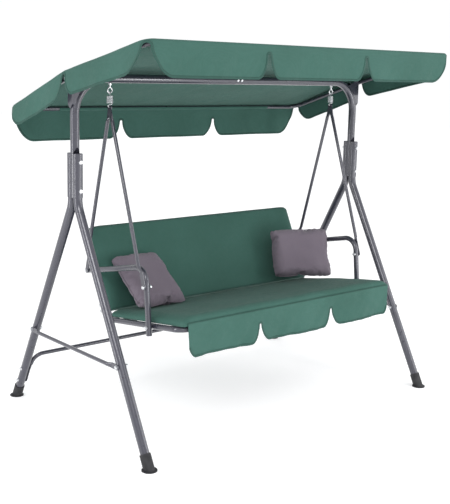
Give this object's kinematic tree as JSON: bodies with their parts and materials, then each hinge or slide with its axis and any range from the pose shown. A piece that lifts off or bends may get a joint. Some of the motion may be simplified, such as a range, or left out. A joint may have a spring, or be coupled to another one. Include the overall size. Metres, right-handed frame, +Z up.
{
  "type": "glider swing",
  "caption": "Canopy garden glider swing: a bent-tube A-frame, a spring-hung padded bench with loose pillows, and a tilting fabric canopy.",
  "frame": {"origin": "on the ground, midway between the four feet", "axes": "+X to the sitter's left hand side as seen from the front (viewer's right), -Y out of the front, +Z up"},
  "size_m": [1.782, 1.144, 1.656],
  "materials": {
    "frame_steel": "gloss powder coat",
    "canopy_fabric": "woven polyester",
    "cushion_fabric": "woven polyester",
    "sling_fabric": "coarse woven sling",
    "pillow_fabric": "brushed woven polyester",
    "zinc": "zinc plated",
    "rubber": "moulded"
  },
  "bodies": {
    "frame": {"crossbar_left": "frame_steel", "leg_socket_left": "frame_steel", "side_brace_left": "frame_steel", "eye_bolt_left": "zinc", "tilt_bracket_left": "frame_steel", "leg_front_left": "frame_steel", "foot_front_left": "rubber", "leg_rear_left": "frame_steel", "foot_rear_left": "rubber", "crossbar_right": "frame_steel", "leg_socket_right": "frame_steel", "side_brace_right": "frame_steel", "eye_bolt_right": "zinc", "tilt_bracket_right": "frame_steel", "leg_front_right": "frame_steel", "foot_front_right": "rubber", "leg_rear_right": "frame_steel", "foot_rear_right": "rubber", "rear_stretcher": "frame_steel", "eye_bolt_nuts": "zinc", "tilt_bolts": "zinc", "socket_bolts": "zinc", "side_brace_bolts": "zinc", "rear_stretcher_bolts": "zinc", "crossbar_bolts": "zinc"},
    "canopy": {"canopy_roof": "canopy_fabric", "canopy_front_bar": "frame_steel", "canopy_rear_bar": "frame_steel", "canopy_valance_front": "canopy_fabric", "canopy_valance_rear": "canopy_fabric", "canopy_valance_left": "canopy_fabric", "canopy_valance_right": "canopy_fabric", "canopy_side_bar_left": "frame_steel", "canopy_corner_front_left": "frame_steel", "canopy_corner_rear_left": "frame_steel", "canopy_side_bar_right": "frame_steel", "canopy_corner_front_right": "frame_steel", "canopy_corner_rear_right": "frame_steel"},
    "hanger": {"spring_left": "zinc", "spring_right": "zinc"},
    "seat": {"armrest_left": "frame_steel", "corner_bracket_left": "frame_steel", "hanging_rod_front_left": "frame_steel", "hanging_rod_rear_left": "frame_steel", "armrest_right": "frame_steel", "corner_bracket_right": "frame_steel", "hanging_rod_front_right": "frame_steel", "hanging_rod_rear_right": "frame_steel", "seat_frame": "frame_steel", "seat_rear_rail": "frame_steel", "back_frame": "frame_steel", "back_lower_rail": "frame_steel", "seat_frame_bolts": "zinc", "seat_sling": "sling_fabric", "back_sling": "sling_fabric", "seat_cushion": "cushion_fabric", "back_cushion": "cushion_fabric", "seat_valance": "canopy_fabric"},
    "pillow_left": {"pillow_left": "pillow_fabric"},
    "pillow_right": {"pillow_right": "pillow_fabric"}
  },
  "joints": [
    {"name": "swing", "type": "hinge", "parent": "frame", "child": "hanger", "pos_m": [0, 0, 1.446], "axis": [1, 0, 0], "range_deg": [-22, 22]},
    {"name": "seat_bounce", "type": "slide", "parent": "hanger", "child": "seat", "axis": [0, 0, 1], "range_m": [-0.02, 0], "stiffness_N_per_m": 98000, "deforming": ["spring_left", "spring_right"]},
    {"name": "canopy_tilt", "type": "hinge", "parent": "frame", "child": "canopy", "pos_m": [0, 0, 1.502], "axis": [1, 0, 0], "range_deg": [-15, 15]},
    {"name": "pillow_left_lift", "type": "slide", "parent": "seat", "child": "pillow_left", "axis": [0, 0, 1], "range_m": [0, 0.3]},
    {"name": "pillow_right_lift", "type": "slide", "parent": "seat", "child": "pillow_right", "axis": [0, 0, 1], "range_m": [0, 0.3]}
  ]
}
